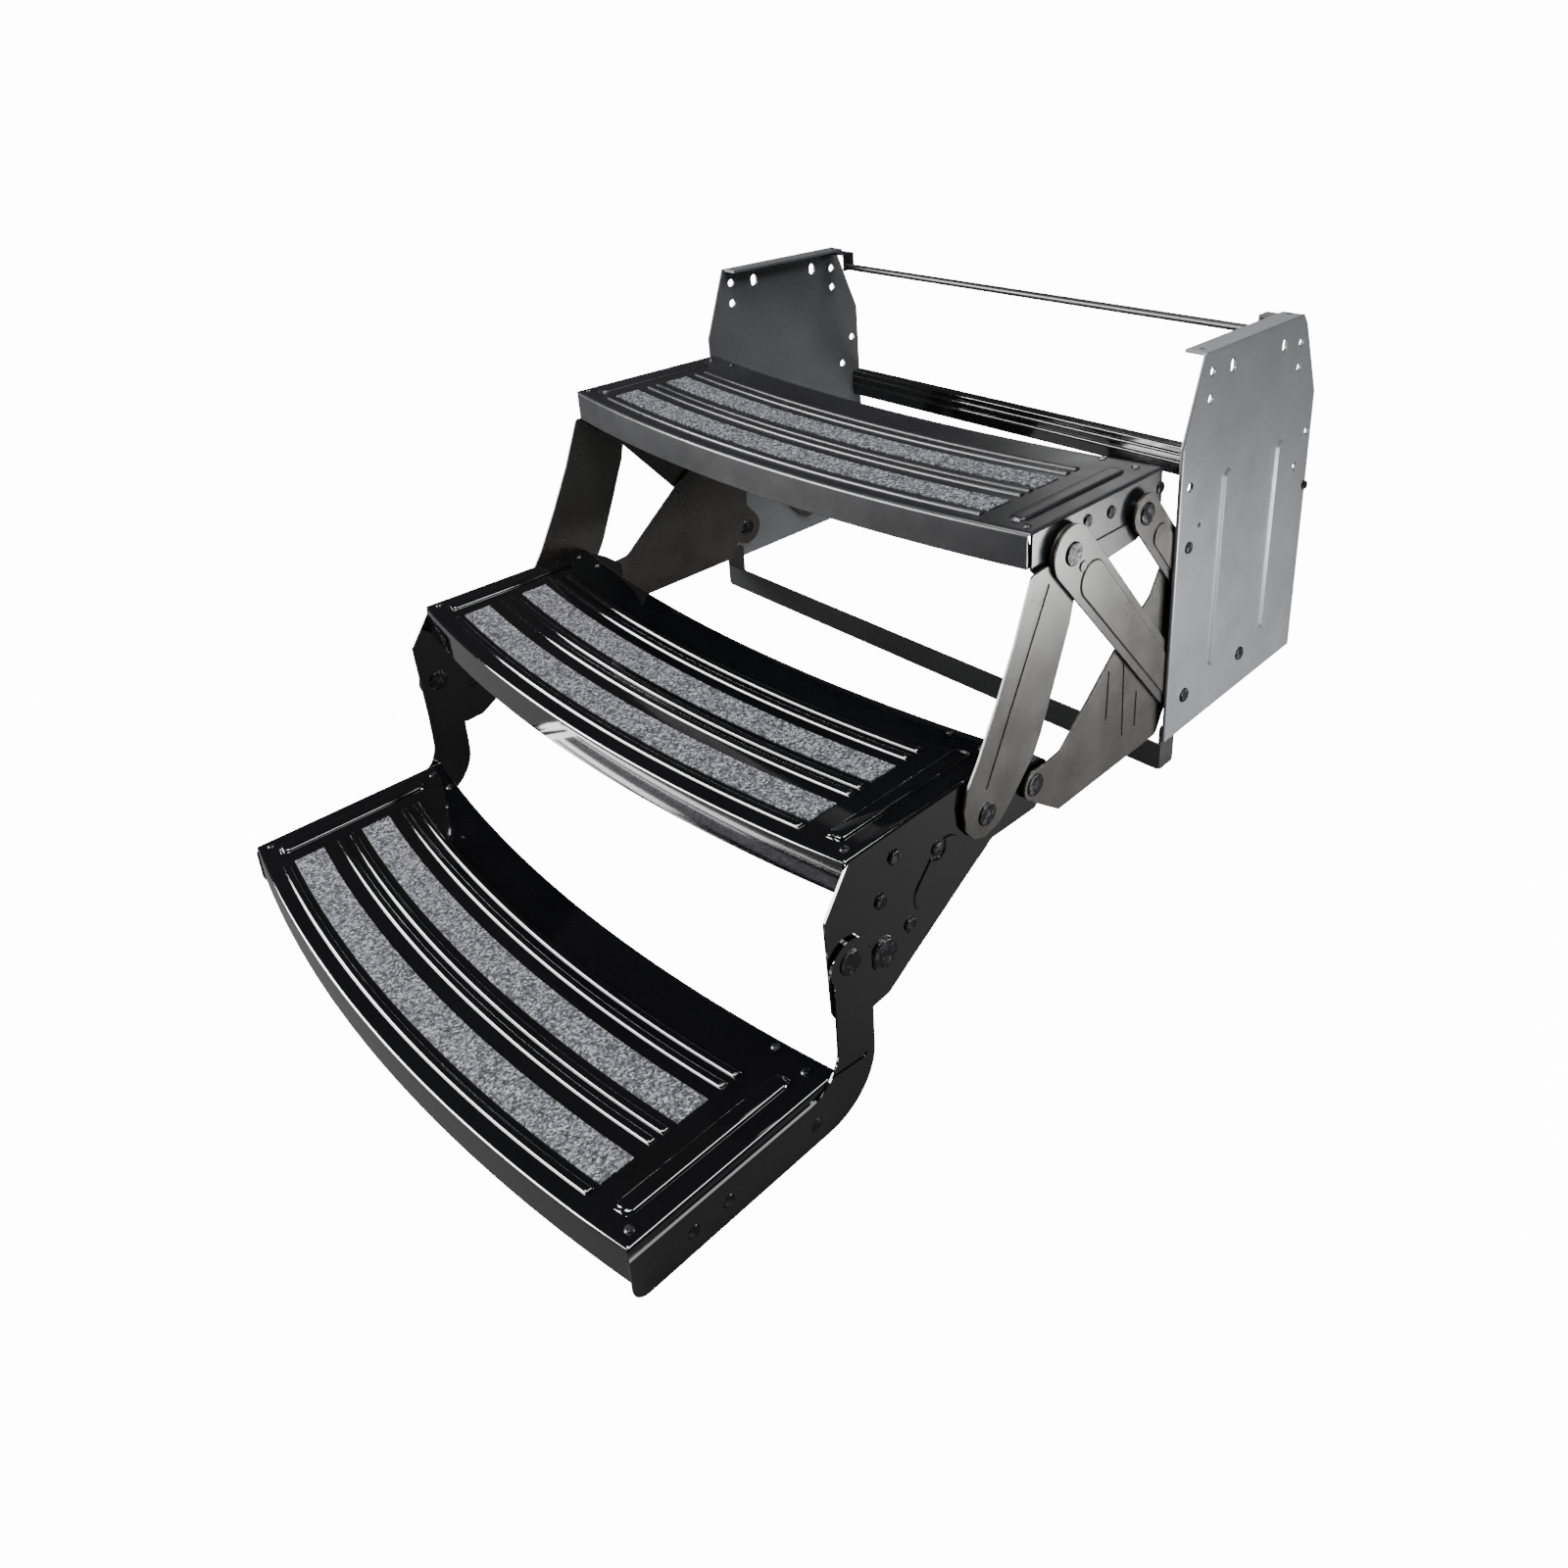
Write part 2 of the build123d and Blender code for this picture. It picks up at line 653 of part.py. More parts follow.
def middle_side_plate():
    outline = hanging_outline(middle_corner, middle_plate_outline)
    plate = slab(polygon(outline, side_plate_radius), step_in, step_plate_thickness)
    start, end = placed(middle_corner, middle_boss)
    boss = bar_outline(start, middle_boss_radius, end, middle_boss_radius)
    for place in placed(middle_corner, middle_bolt_places):
        boss -= Pos(*place) * Circle(bolt_head_radius + panel_flat_margin)
    plate += raised(boss, step_out, boss_height)
    for place in (leg_pivot, fold_pivot, stop_place):
        plate -= seat(place)
    for place in placed(middle_corner, middle_bolt_places):
        plate -= round_hole(place, bolt_radius)
    return plate


def middle_bolt(place):
    head = slab(Pos(*place) * RegularPolygon(bolt_head_radius, 6), step_out, middle_bolt_head)
    return disc(place, bolt_radius, step_in, step_plate_thickness) + chamfer(free_edges(head), bolt_edge)


def rounded(face, place, radius):
    """Rounds the corner of a face that is nearest to a place."""
    return fillet(face.vertices().sort_by_distance((*place, 0))[0], radius)


def fold_side_plate():
    """The arm of the bottom step: level under its tread, then up to its own hinge."""
    front, top = bottom_corner[0] - fold_plate_front, bottom_corner[1] - fold_plate_top
    low = bottom_corner[1] - fold_plate_bottom
    inner, rear = fold_pivot[0] - fold_arm_front, fold_pivot[0] + fold_arm_rear
    outline = polygon(((front, top), (inner, top), (inner, fold_pivot[1]), (rear, fold_pivot[1]),
                       (rear, low), (front, low)))
    outline = rounded(outline, (inner, top), fold_elbow_inner)
    outline = rounded(outline, (rear, low), fold_elbow_outer)
    outline = rounded(outline, (front, low), fold_front_radius)
    plate = slab(outline, fold_in, fold_plate_thickness)
    plate += disc(fold_pivot, fold_eye, fold_in, fold_plate_thickness)
    shelf_length = tread_depth - 2 * shelf_end_inset
    shelf = Box(shelf_width, shelf_length, bar_wall, align=(Align.MAX, Align.CENTER, Align.MAX))
    plate += Pos(fold_in, bottom_corner[0] + tread_depth / 2, bottom_corner[1] - front_lip) * shelf
    for place in fold_rivet_centres():
        plate -= disc(place, fold_rivet_radius, fold_in, fold_plate_thickness)
    plate -= crease(*placed(fold_pivot, fold_crease), fold_out)
    return plate - bore(fold_pivot)


def fold_rivet_centres():
    return placed(bottom_corner, [(place, -fold_rivet_drop) for place in fold_rivet_places])


def flush_rivet(place):
    """A rivet whose head lies flush in the arm, so that the leg can pass over it."""
    rivet = disc(place, fold_rivet_radius, fold_in, fold_plate_thickness)
    return chamfer(free_edges(rivet), fold_rivet_edge)


def build_housing():
    for side, sign in sides:
        save(f"housing_plate_{side}", across(housing_plate(), sign))
    save("plate_studs", both(plate_stud()))
    save("lower_front_bar", front_bar())
    save("front_bar_brackets", both(front_bracket()))
    save("rear_channel", rear_channel())
    save("channel_bolts", both(channel_bolt_piece()))
    save("channel_nuts", both(channel_nut()))
    save("upper_rear_bar", top_bar())
    save("upper_bar_rivets", both(top_bar_rivet()))
    save("front_link_pins", both(housing_pin(front_pivot)))
    save("rear_link_pins", both(housing_pin(rear_pivot)))
    save("link_spacers", both(*[ring(place, link_out, housing_in) for place in (front_pivot, rear_pivot)]))


def build_links():
    for side, sign in sides:
        save(f"front_link_{side}", across(front_link(), sign))
        save(f"rear_link_{side}", across(rear_link(), sign))
        save(f"drop_leg_{side}", across(drop_leg(), sign))
        save(f"brace_plate_{side}", across(brace_plate(), sign))
    upper_pin = pin(arm_pivot, arm_in - face_gap, link_out, inner_head_height, head_height)
    save("brace_upper_pins", both(upper_pin))
    save("brace_spacers", both(ring(arm_pivot, arm_out, link_in)))
    save("brace_lower_rivets", both(disc(brace_pivot, pin_radius, arm_in, arm_thickness)
                                    + button(brace_pivot, arm_out, inner_head_height)))


def build_top_step():
    save("top_tread", tread(top_corner, tread_half, step_in, rear_lip))
    save("top_grip_strips", grip_strips(top_corner))
    save("top_tread_rivets", tread_rivets(top_corner))
    for side, sign in sides:
        save(f"top_side_plate_{side}", across(top_side_plate(), sign))
    save("top_plate_studs", both(*[step_stud(place) for place in top_studs()]))
    outer_face = link_out + face_gap
    save("top_front_pins", both(pin(top_front_pivot, step_in, outer_face, head_height, head_height)))
    save("top_rear_pins", both(pin(top_rear_pivot, step_in, outer_face, head_height, head_height)))
    save("top_pin_spacers", both(ring(top_front_pivot, step_out, arm_in),
                                 ring(top_front_pivot, arm_out, link_in),
                                 ring(top_rear_pivot, step_out, link_in)))


def build_middle_step():
    save("middle_tread", tread(middle_corner, tread_half, step_in, rear_lip))
    save("middle_grip_strips", grip_strips(middle_corner))
    save("middle_tread_rivets", tread_rivets(middle_corner))
    for side, sign in sides:
        save(f"middle_side_plate_{side}", across(middle_side_plate(), sign))
    leg_head = inner_head_height - face_gap
    save("leg_pins", both(pin(leg_pivot, step_in, arm_out + face_gap, head_height, leg_head)))
    save("leg_spacers", both(ring(leg_pivot, step_out, arm_in)))
    save("fold_pins", both(pin(fold_pivot, step_in, fold_out + face_gap, head_height, inner_head_height)))
    stop = disc(stop_place, pin_radius, step_in, step_plate_thickness) + button(
        stop_place, step_out, fold_out - step_out, radius=stop_radius)
    save("fold_stops", both(stop))
    bolts = [middle_bolt(place) for place in placed(middle_corner, middle_bolt_places)]
    save("middle_plate_bolts", both(*bolts))


def build_bottom_step():
    save("bottom_tread", tread(bottom_corner, fold_in, fold_in, front_lip, closed_ends=True))
    save("bottom_grip_strips", grip_strips(bottom_corner))
    save("bottom_tread_rivets", tread_rivets(bottom_corner))
    for side, sign in sides:
        save(f"bottom_side_plate_{side}", across(fold_side_plate(), sign))
    save("bottom_plate_rivets", both(*[flush_rivet(place) for place in fold_rivet_centres()]))


os.makedirs("parts", exist_ok=True)
build_housing()
build_links()
build_top_step()
build_middle_step()
build_bottom_step()
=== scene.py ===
"""Finishes, light and camera for the camper entry step. Metres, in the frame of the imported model."""
import json

import bmesh
import bpy
from math import radians, sqrt
from mathutils import Matrix, Vector


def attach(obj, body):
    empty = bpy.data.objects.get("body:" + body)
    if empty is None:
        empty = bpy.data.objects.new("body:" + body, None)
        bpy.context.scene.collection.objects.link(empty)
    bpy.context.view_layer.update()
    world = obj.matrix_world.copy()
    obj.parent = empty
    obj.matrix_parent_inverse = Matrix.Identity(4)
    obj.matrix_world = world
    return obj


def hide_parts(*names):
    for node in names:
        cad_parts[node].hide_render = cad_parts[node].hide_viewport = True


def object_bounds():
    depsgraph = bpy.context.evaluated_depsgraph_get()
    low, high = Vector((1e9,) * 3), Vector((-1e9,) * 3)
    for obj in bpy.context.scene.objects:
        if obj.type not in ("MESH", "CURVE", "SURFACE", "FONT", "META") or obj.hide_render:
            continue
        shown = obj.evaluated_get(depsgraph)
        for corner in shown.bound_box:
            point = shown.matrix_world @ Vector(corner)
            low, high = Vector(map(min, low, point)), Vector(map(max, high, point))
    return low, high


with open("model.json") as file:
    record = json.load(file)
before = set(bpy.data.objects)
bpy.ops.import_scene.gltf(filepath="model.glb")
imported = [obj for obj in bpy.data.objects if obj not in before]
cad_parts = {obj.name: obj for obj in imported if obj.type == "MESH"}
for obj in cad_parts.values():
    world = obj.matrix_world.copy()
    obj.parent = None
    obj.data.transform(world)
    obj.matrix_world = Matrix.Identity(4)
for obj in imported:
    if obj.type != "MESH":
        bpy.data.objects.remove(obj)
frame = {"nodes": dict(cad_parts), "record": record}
cad_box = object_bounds()
nodes = frame["nodes"]


# Material helpers

EDGE_SAMPLES = 6


def new_material(name):
    """A material, its node tree and its shader node."""
    material = bpy.data.materials.new(name)
    material.use_nodes = True
    tree = material.node_tree
    shader = tree.nodes["Principled BSDF"]
    return material, tree, shader


def add_node(tree, kind, inputs=(), **settings):
    """Adds a node, sets its properties, and sets or links each named input."""
    node = tree.nodes.new(kind)
    for key, value in settings.items():
        setattr(node, key, value)
    for key, value in dict(inputs).items():
        if isinstance(value, bpy.types.NodeSocket):
            tree.links.new(value, node.inputs[key])
        else:
            node.inputs[key].default_value = value
    return node


def place_vector(tree):
    """Places on the object in metres."""
    return add_node(tree, "ShaderNodeTexCoord").outputs["Object"]


def noise(tree, vector, scale, detail=2.0, roughness=0.5):
    node = add_node(tree, "ShaderNodeTexNoise",
                    {"Vector": vector, "Scale": scale, "Detail": detail, "Roughness": roughness})
    return node.outputs["Fac"]


def spread(tree, value, low, high, from_low=0.3, from_high=0.7):
    """Maps a noise value to a range."""
    node = add_node(tree, "ShaderNodeMapRange", {
        "Value": value, "From Min": from_low, "From Max": from_high, "To Min": low, "To Max": high})
    return node.outputs["Result"]


def blend_colour(tree, factor, first, second):
    """Blends two colours; a Mix node set to colours has them at inputs 6 and 7 and the result at output 2."""
    node = add_node(tree, "ShaderNodeMix", data_type="RGBA")
    tree.links.new(factor, node.inputs["Factor"])
    node.inputs[6].default_value = (*first, 1)
    node.inputs[7].default_value = (*second, 1)
    return node.outputs[2]


def rounded_normal(tree, edge):
    """Softens the cut edges of sheet metal over a small radius."""
    return add_node(tree, "ShaderNodeBevel", {"Radius": edge}, samples=EDGE_SAMPLES).outputs["Normal"]


def bump(tree, height, strength, distance, normal=None):
    inputs = {"Height": height, "Strength": strength, "Distance": distance}
    if normal:
        inputs["Normal"] = normal
    return add_node(tree, "ShaderNodeBump", inputs).outputs["Normal"]


# Finishes. Noise scales are cycles per metre, bump distances and edge radii metres

CLOUD_SCALE, CLOUD_SHARE = 9, 0.6
DUST_SCALE, DUST_SHARE = 240, 0.4
GLOSS_SCALE = 30
RIPPLE_SCALE, RIPPLE_DISTANCE = 60, 0.001
GRAIN_SCALE, GRAIN_DISTANCE = 1400, 0.0002
COAT_IOR = 1.7
SHEET_EDGE = 0.0006

GRIT_SCALE, GRIT_SPECK_SCALE = 620.0, 800
GRIT_RELIEF, GRIT_DISTANCE = 0.7, 0.0005
GRIT_TONES = ((0.1, (0.008, 0.008, 0.01)), (0.3, (0.075, 0.075, 0.085)), (0.6, (0.42, 0.42, 0.46)))
GRIT_ROUGHNESS, GRIT_SPECULAR = 0.8, 0.35

RUB_SCALE, RUB_FROM, RUB_TO = 160, 0.5, 0.75
FASTENER_DARK, FASTENER_RUBBED = (0.006, 0.006, 0.007), (0.09, 0.09, 0.095)
FASTENER_SMOOTH, FASTENER_ROUGH = 0.14, 0.3
FASTENER_METALLIC, FASTENER_COAT = 0.4, 0.3
FASTENER_EDGE = 0.0007
DENT_SCALE, DENT_RELIEF, DENT_DISTANCE = 400, 0.1, 0.0003


def coated_steel(name, dark, light, smooth, rough, coat, ripple, metallic=0.0, grain=0.0, edge=0.0):
    """Painted sheet steel: a slightly rippled coat with cloudy gloss and fine dust."""
    material, tree, shader = new_material(name)
    vector = place_vector(tree)
    clouds = spread(tree, noise(tree, vector, CLOUD_SCALE, detail=4), 0, CLOUD_SHARE)
    dust = spread(tree, noise(tree, vector, DUST_SCALE, detail=3, roughness=0.6), 0, DUST_SHARE)
    tone = add_node(tree, "ShaderNodeMath", {0: clouds, 1: dust}, operation="ADD").outputs[0]
    tree.links.new(blend_colour(tree, tone, dark, light), shader.inputs["Base Color"])
    gloss = spread(tree, noise(tree, vector, GLOSS_SCALE, detail=5), smooth, rough)
    tree.links.new(gloss, shader.inputs["Roughness"])
    shader.inputs["Metallic"].default_value = metallic
    shader.inputs["Coat Weight"].default_value = coat
    shader.inputs["Coat Roughness"].default_value = smooth
    shader.inputs["Coat IOR"].default_value = COAT_IOR
    normal = rounded_normal(tree, edge) if edge else None
    normal = bump(tree, noise(tree, vector, RIPPLE_SCALE, detail=1), ripple, RIPPLE_DISTANCE, normal)
    if grain:
        normal = bump(tree, noise(tree, vector, GRAIN_SCALE), grain, GRAIN_DISTANCE, normal)
    tree.links.new(normal, shader.inputs["Normal"])
    return material


def grit(name):
    """Non-slip strip: fine dark mineral grains with pale facets."""
    material, tree, shader = new_material(name)
    vector = place_vector(tree)
    grains = add_node(tree, "ShaderNodeTexVoronoi", {"Vector": vector, "Scale": GRIT_SCALE})
    specks = noise(tree, vector, GRIT_SPECK_SCALE, roughness=0.7)
    mixed = add_node(tree, "ShaderNodeMath", {0: grains.outputs["Color"], 1: specks}, operation="MULTIPLY")
    ramp = add_node(tree, "ShaderNodeValToRGB", {"Fac": mixed.outputs[0]})
    stops = ramp.color_ramp.elements
    stops.new(GRIT_TONES[1][0])
    for stop, (position, colour) in zip(stops, GRIT_TONES):
        stop.position, stop.color = position, (*colour, 1)
    tree.links.new(ramp.outputs["Color"], shader.inputs["Base Color"])
    shader.inputs["Roughness"].default_value = GRIT_ROUGHNESS
    shader.inputs["Specular IOR Level"].default_value = GRIT_SPECULAR
    normal = bump(tree, grains.outputs["Distance"], GRIT_RELIEF, GRIT_DISTANCE)
    tree.links.new(normal, shader.inputs["Normal"])
    return material


def worn_fastener(name):
    """Dark coated fastener, rubbed bright where it is high."""
    material, tree, shader = new_material(name)
    vector = place_vector(tree)
    rub = noise(tree, vector, RUB_SCALE, detail=4, roughness=0.65)
    rubbed = spread(tree, rub, 0, 1, RUB_FROM, RUB_TO)
    tree.links.new(blend_colour(tree, rubbed, FASTENER_DARK, FASTENER_RUBBED), shader.inputs["Base Color"])
    tree.links.new(spread(tree, rub, FASTENER_SMOOTH, FASTENER_ROUGH), shader.inputs["Roughness"])
    shader.inputs["Metallic"].default_value = FASTENER_METALLIC
    shader.inputs["Coat Weight"].default_value = FASTENER_COAT
    normal = bump(tree, noise(tree, vector, DENT_SCALE), DENT_RELIEF, DENT_DISTANCE,
                  rounded_normal(tree, FASTENER_EDGE))
    tree.links.new(normal, shader.inputs["Normal"])
    return material


SLOT_MATERIALS = {
    "gloss_black": coated_steel("gloss_black", dark=(0.0015, 0.0015, 0.0018), light=(0.003, 0.003, 0.0035),
                                smooth=0.05, rough=0.09, coat=1.0, ripple=0.01),
    "satin_black": coated_steel("satin_black", dark=(0.006, 0.006, 0.007), light=(0.011, 0.011, 0.012),
                                smooth=0.28, rough=0.38, coat=0.3, ripple=0.015, grain=0.03),
    "link_steel": coated_steel("link_steel", dark=(0.025, 0.024, 0.022), light=(0.042, 0.04, 0.037),
                               smooth=0.26, rough=0.36, coat=0.3, ripple=0.03, metallic=0.35, grain=0.04,
                               edge=SHEET_EDGE),
    "housing_grey": coated_steel("housing_grey", dark=(0.10, 0.102, 0.108), light=(0.13, 0.132, 0.14),
                                 smooth=0.34, rough=0.42, coat=0.1, ripple=0.02, metallic=0.3, grain=0.04,
                                 edge=SHEET_EDGE),
    "grip": grit("grip"),
    "fastener": worn_fastener("fastener"),
}


def dress_nodes():
    """Gives each CAD node the procedural material of its slot in the record."""
    for row in frame["record"]["subparts"]:
        mesh = nodes[row["node"]].data
        mesh.materials.clear()
        mesh.materials.append(SLOT_MATERIALS[row["material_slot"]])


# Treads, pressed from sheet: smooth meshes in the place of the CAD's treads.
# Their sizes are the CAD's, in millimetres; a corner is the (y, z) of a tread's two upper front corners

MILLIMETRES = 1000
ORIGIN_Y, ORIGIN_Z = 117.5, 365.0
TOP_CORNER, MIDDLE_CORNER, BOTTOM_CORNER = (-191.0, 271.6), (-394.1, 94.1), (-597.2, -83.4)
DEPTH, BOW, HALF = 188.0, 28.0, 301.0
BOW_RADIUS = (HALF ** 2 + BOW ** 2) / (2 * BOW)
SHEET, LIP, REAR_LIP, RETURN, EDGE = 2.0, 30.0, 20.0, 9.0, 3.5
LIP_END_GAP = 2.5
CLOSED_END_EXTRA = 0.4
RIDGES, RIDGE_WIDTH, RIDGE_HEIGHT, RIDGE_SHOULDER = (13.0, 64.0, 75.5, 127.0, 140.0), 6.8, 2.4, 2.6
PATTERN_END_GAP, RIB_FROM_END, RIB_WIDTH, RIB_FRONT, RIB_REAR = 52.0, 25.5, 15.0, 12.0, 31.0
RIB_LINE = HALF - RIB_FROM_END
PATTERN_HALF = HALF - PATTERN_END_GAP

# How close together the places on a tread lie
SHOULDER_STEPS = 7
RIDGE_END_STEPS = (0, 0.1, 0.3, 0.7, 1.3, 2.6)
RIB_END_ROWS, RIB_END_STEP = 20, 0.5
ROW_GAP, COLUMN_GAP = 7.0, 6.0
SHEET_START = 0.34
SAME_PLACE = 0.001
MERGE_DISTANCE = 0.000002
SHARP_ANGLE = radians(40)


def crown(inside):
    """The height of a pressed form at a distance inside its edge: a rounded shoulder up to a level top."""
    if inside <= 0:
        return 0.0
    share = min(inside / RIDGE_SHOULDER, 1.0)
    return RIDGE_HEIGHT * sqrt(1 - (1 - share) ** 2)


def edge_drop(inside):
    """How far the sheet has turned down at a distance inside its rounded edge."""
    inside = max(inside, 0.0)
    return 0.0 if inside >= EDGE else EDGE - sqrt(EDGE ** 2 - (EDGE - inside) ** 2)


def bow(x):
    """How far the bowed front line lies behind its foremost place."""
    return BOW_RADIUS - sqrt(BOW_RADIUS ** 2 - x ** 2)


def tread_height(x, u, half):
    """The height of a tread's top at x, a distance u behind its front line."""
    height = -max(edge_drop(u), edge_drop(DEPTH - u), edge_drop(half - abs(x)))
    for front in RIDGES:
        height += crown(min(u - front, front + RIDGE_WIDTH - u, PATTERN_HALF - abs(x)))
    y = u + bow(x) - BOW
    reach = RIB_WIDTH / 2
    nearest = min(max(y, RIB_FRONT + reach), DEPTH - RIB_REAR - reach)
    away = sqrt((abs(x) - RIB_LINE) ** 2 + (y - nearest) ** 2)
    return height + crown(reach - away)


def shoulder_places(start, end):
    """Places close together on both rounded shoulders of a pressed form."""
    steps = [RIDGE_SHOULDER * (index / SHOULDER_STEPS) ** 2 for index in range(SHOULDER_STEPS + 1)]
    return [start + step for step in steps] + [end - step for step in steps]


def edge_places(start, sign):
    """Places close together on a rounded edge, going inwards along the sign."""
    return [start + sign * EDGE * (index / SHOULDER_STEPS) ** 2 for index in range(SHOULDER_STEPS + 1)]


def filled(places, gap):
    """Sorted places with more put in wherever two are further apart than the gap."""
    places = sorted(set(round(place, 3) for place in places))
    full = [places[0]]
    for place in places[1:]:
        start = full[-1]
        count = int((place - start) // gap)
        full += [start + (place - start) * (index + 1) / (count + 1) for index in range(count)]
        full.append(place)
    return full


def tread_rows():
    """Places behind the front line, close together on edges, ridges and the ends of the ribs."""
    places = edge_places(0, 1) + edge_places(DEPTH, -1)
    for front in RIDGES:
        places += shoulder_places(front, front + RIDGE_WIDTH)
    for end in (RIB_FRONT + BOW - bow(RIB_LINE), DEPTH - RIB_REAR + BOW - bow(RIB_LINE)):
        places += [end + index * RIB_END_STEP for index in range(-RIB_END_ROWS, RIB_END_ROWS + 1)]
    return filled(places, ROW_GAP)


def tread_columns(half, lip_half):
    """Places along X, close together on edges, ribs and the ends of the ridges."""
    start = SHEET_START if lip_half < half - SHEET else 0.0
    right = [min(place, half - start) for place in edge_places(half, -1)]
    right += shoulder_places(RIB_LINE - RIB_WIDTH / 2, RIB_LINE + RIB_WIDTH / 2)
    right += [PATTERN_HALF - step for step in RIDGE_END_STEPS] + [lip_half, 0.0]
    places = filled(right, COLUMN_GAP)
    return [-place for place in reversed(places[1:])] + places


def tread_loop(x, half, rows, rear_lip, kind):
    """One cross-section of a tread as (u, z): lips and sheet, the sheet alone, or a closed end.

    Corners are repeated where needed, so that each kind has the same number of places.
    """
    top = [(u, tread_height(x, u, half)) for u in rows]
    if kind == "sheet":
        low = -SHEET
        top = [(min(max(u, SHEET_START), DEPTH - SHEET_START), max(z, low)) for u, z in top]
        near, far = (top[0][0], low), (top[-1][0], low)
        return [near, near] + top + [far, far, (DEPTH - SHEET, low), (SHEET, low), near, near]
    if kind == "end":
        low = -LIP
        return ([(SHEET + RETURN, low), (0.0, low)] + top + [(DEPTH, low)] + [(DEPTH - SHEET, low)] * 2
                + [(SHEET + RETURN, low)] * 3)
    return ([(SHEET + RETURN, -LIP), (0.0, -LIP)] + top
            + [(DEPTH, -rear_lip), (DEPTH - SHEET, -rear_lip), (DEPTH - SHEET, -SHEET), (SHEET, -SHEET),
               (SHEET, SHEET - LIP), (SHEET + RETURN, SHEET - LIP)])


def tread_sections(half, lip_half, beyond):
    """Each column's x and kind of cross-section; both kinds where the lips end."""
    for x in tread_columns(half, lip_half):
        if abs(abs(x) - lip_half) < SAME_PLACE:
            for kind in ((beyond, "lips") if x < 0 else ("lips", beyond)):
                yield x, kind
        else:
            yield x, "lips" if abs(x) <= lip_half else beyond


def smooth_but_sharp_edges(form):
    """Smooth shading, except over edges that turn sharply."""
    for face in form.faces:
        face.smooth = True
    for edge in form.edges:
        edge.smooth = not (edge.is_manifold and edge.calc_face_angle(0.0) > SHARP_ANGLE)


def swept_tread(corner, half, lip_half, rear_lip):
    """The form of a tread, swept from its cross-sections along the bow."""
    rows = tread_rows()
    corner_y, corner_z = corner
    beyond = "sheet" if lip_half < half - SHEET else "end"
    form = bmesh.new()
    loops = []
    for x, kind in tread_sections(half, lip_half, beyond):
        loop = []
        for u, z in tread_loop(x, half, rows, rear_lip, kind):
            y = corner_y - BOW + bow(x) + u
            loop.append(form.verts.new((x / MILLIMETRES, (y - ORIGIN_Y) / MILLIMETRES,
                                        (corner_z + z - ORIGIN_Z) / MILLIMETRES)))
        loops.append(loop)
    for left, right in zip(loops, loops[1:]):
        for index in range(len(left)):
            after = (index + 1) % len(left)
            form.faces.new((left[index], right[index], right[after], left[after]))
    if beyond == "end":
        for loop, turn in ((loops[0], 1), (loops[-1], -1)):
            form.faces.new(loop[1:len(rows) + 3][::turn])
    bmesh.ops.remove_doubles(form, verts=form.verts, dist=MERGE_DISTANCE)
    bmesh.ops.dissolve_degenerate(form, edges=form.edges, dist=MERGE_DISTANCE)
    bmesh.ops.recalc_face_normals(form, faces=form.faces)
    smooth_but_sharp_edges(form)
    return form


def pressed_tread(body, node, corner, rear_lip=REAR_LIP, closed_ends=False):
    """A smooth tread that takes the place of the CAD's; one with closed ends is a little wider."""
    half = HALF + CLOSED_END_EXTRA if closed_ends else HALF
    lip_half = half - SHEET if closed_ends else half - LIP_END_GAP
    name = node + "_sheet"
    mesh = bpy.data.meshes.new(name)
    form = swept_tread(corner, half, lip_half, rear_lip)
    form.to_mesh(mesh)
    form.free()
    piece = bpy.data.objects.new(name, mesh)
    bpy.context.scene.collection.objects.link(piece)
    slot = next(row["material_slot"] for row in frame["record"]["subparts"] if row["node"] == node)
    mesh.materials.append(SLOT_MATERIALS[slot])
    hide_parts(node)
    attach(piece, body)


def make_treads():
    pressed_tread("top_step", "top_tread", TOP_CORNER)
    pressed_tread("middle_step", "middle_tread", MIDDLE_CORNER)
    pressed_tread("bottom_step", "bottom_tread", BOTTOM_CORNER, rear_lip=LIP, closed_ends=True)


# Floor, light and camera

PHOTO_SIZE = 1600
CAMERA_PLACE = (0.78757, -0.96394, 0.25853)
CAMERA_RIGHT = (0.725474, 0.687683, -0.027922)
CAMERA_DOWN = (0.242957, -0.293845, -0.92446)
CAMERA_FOCAL_PIXELS = 1216.7
CAMERA_SENSOR = 36
CAMERA_CLIP = (0.05, 50)
OPTICAL_CENTRE = (903.0, 525.0)

STUDIO_WHITE = 14.0
SURROUND_LIGHT = 0.03
FLOOR_SIZE, FLOOR_GAP = 60, 0.002
FLOOR_DARK, FLOOR_LIGHT = (0.018, 0.018, 0.019), (0.024, 0.024, 0.024)
FLOOR_CLOUD_SCALE, FLOOR_ROUGHNESS = 1.5, 0.9


def studio_white(tree):
    """White as the camera sees it, and nearly nothing for the light that falls on the object."""
    ray = add_node(tree, "ShaderNodeLightPath")
    return add_node(tree, "ShaderNodeMapRange", {"Value": ray.outputs["Is Camera Ray"], "To Min": SURROUND_LIGHT,
                                                 "To Max": STUDIO_WHITE}).outputs["Result"]


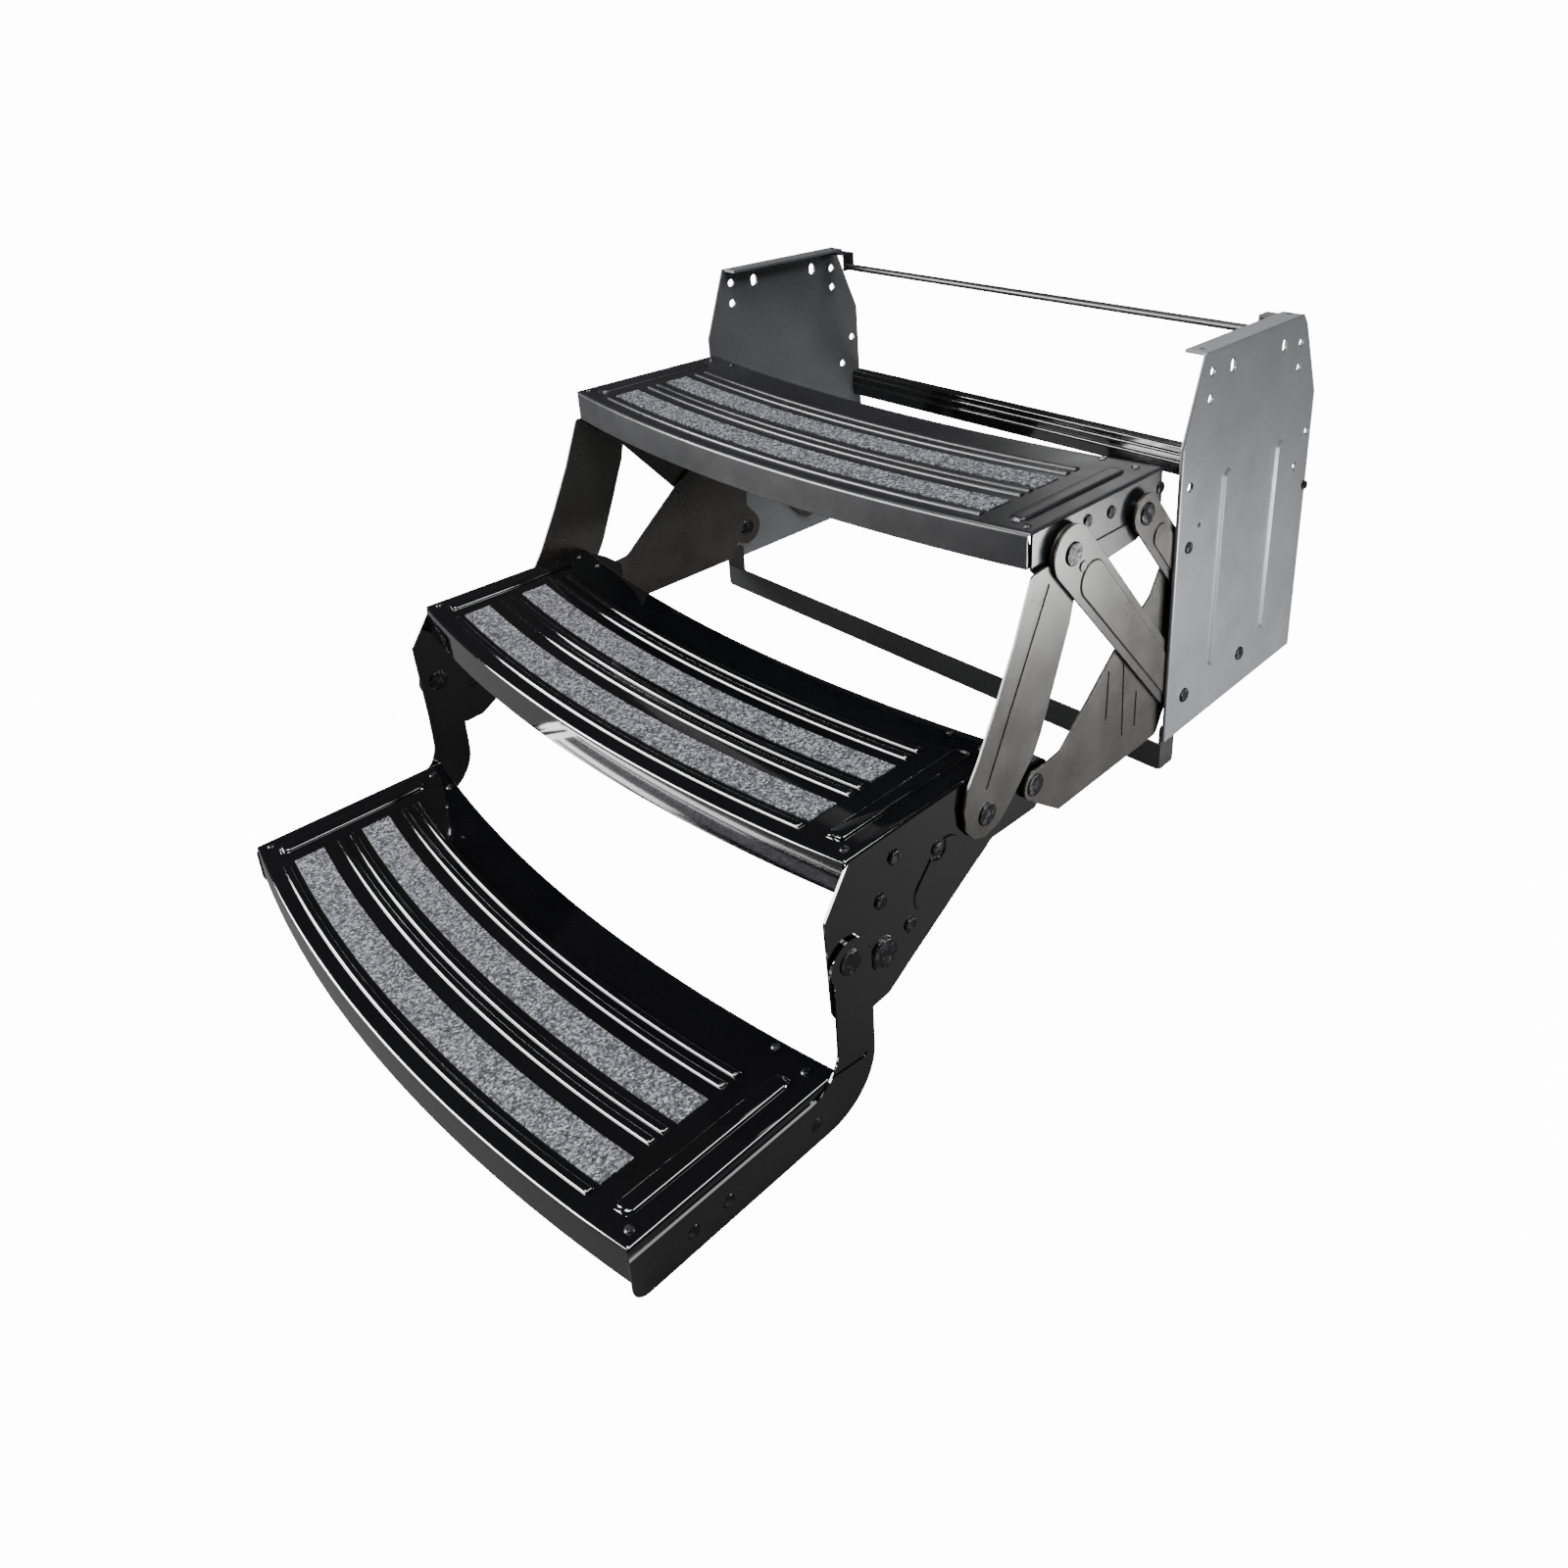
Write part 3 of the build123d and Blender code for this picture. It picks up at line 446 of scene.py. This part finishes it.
def stage_floor():
    """A plain floor just under the bottom step: white to the camera, and dark in reflections."""
    bpy.ops.mesh.primitive_plane_add(size=FLOOR_SIZE, location=(0, 0, cad_box[0][2] - FLOOR_GAP))
    floor = bpy.context.object
    floor.name = "studio_floor"
    material, tree, shader = new_material("studio_floor")
    shade = spread(tree, noise(tree, place_vector(tree), FLOOR_CLOUD_SCALE), 0, 1)
    tree.links.new(blend_colour(tree, shade, FLOOR_DARK, FLOOR_LIGHT), shader.inputs["Base Color"])
    shader.inputs["Roughness"].default_value = FLOOR_ROUGHNESS
    shader.inputs["Emission Color"].default_value = (1, 1, 1, 1)
    tree.links.new(studio_white(tree), shader.inputs["Emission Strength"])
    floor.data.materials.append(material)


def softbox(name, place, target, size, power):
    """A rectangular light that the camera doesn't see; its size is its width and height in metres."""
    light = bpy.data.lights.new(name, "AREA")
    light.shape = "RECTANGLE"
    light.size, light.size_y = size
    light.energy = power
    box = bpy.data.objects.new(name, light)
    bpy.context.scene.collection.objects.link(box)
    box.location = place
    box.rotation_euler = (Vector(target) - Vector(place)).to_track_quat("-Z", "Y").to_euler()
    box.visible_camera = False


def studio_light():
    """Soft boxes round the object, and a white surround that only the camera sees."""
    softbox("top_softbox", (0.1, -0.9, 1.7), target=(0, -0.6, -0.45), size=(1.2, 0.8), power=60)
    softbox("left_softbox", (-1.44, -2.25, 0.44), target=(0, -0.5, -0.3), size=(2.1, 1.0), power=210)
    softbox("rear_softbox", (-0.75, 1.9, 0.8), target=(0.2, -0.1, -0.1), size=(0.9, 0.5), power=2.5)
    softbox("right_softbox", (0.85, 0.08, -0.4), target=(0.31, -0.05, -0.4), size=(0.5, 0.14), power=12)
    softbox("edge_softbox", (1.15, 0.15, 1.35), target=(0.25, -0.5, -0.35), size=(1.0, 0.6), power=26)
    world = bpy.data.worlds.new("studio")
    bpy.context.scene.world = world
    world.use_nodes = True
    background = world.node_tree.nodes["Background"]
    background.inputs["Color"].default_value = (1, 1, 1, 1)
    world.node_tree.links.new(studio_white(world.node_tree), background.inputs["Strength"])


def photo_camera():
    """The camera at the photograph's place; its shift is the optical centre's place in the frame."""
    data = bpy.data.cameras.new("photo_camera")
    camera = bpy.data.objects.new("photo_camera", data)
    bpy.context.scene.collection.objects.link(camera)
    data.sensor_width = CAMERA_SENSOR
    data.lens = CAMERA_FOCAL_PIXELS / PHOTO_SIZE * data.sensor_width
    data.shift_x = (PHOTO_SIZE / 2 - OPTICAL_CENTRE[0]) / PHOTO_SIZE
    data.shift_y = (OPTICAL_CENTRE[1] - PHOTO_SIZE / 2) / PHOTO_SIZE
    right = Vector(CAMERA_RIGHT).normalized()
    back = right.cross(-Vector(CAMERA_DOWN)).normalized()
    up = back.cross(right)
    turn = Matrix((right, up, back)).transposed()
    camera.matrix_world = Matrix.Translation(CAMERA_PLACE) @ turn.to_4x4()
    data.clip_start, data.clip_end = CAMERA_CLIP
    bpy.context.scene.camera = camera


dress_nodes()
make_treads()
stage_floor()
studio_light()
photo_camera()
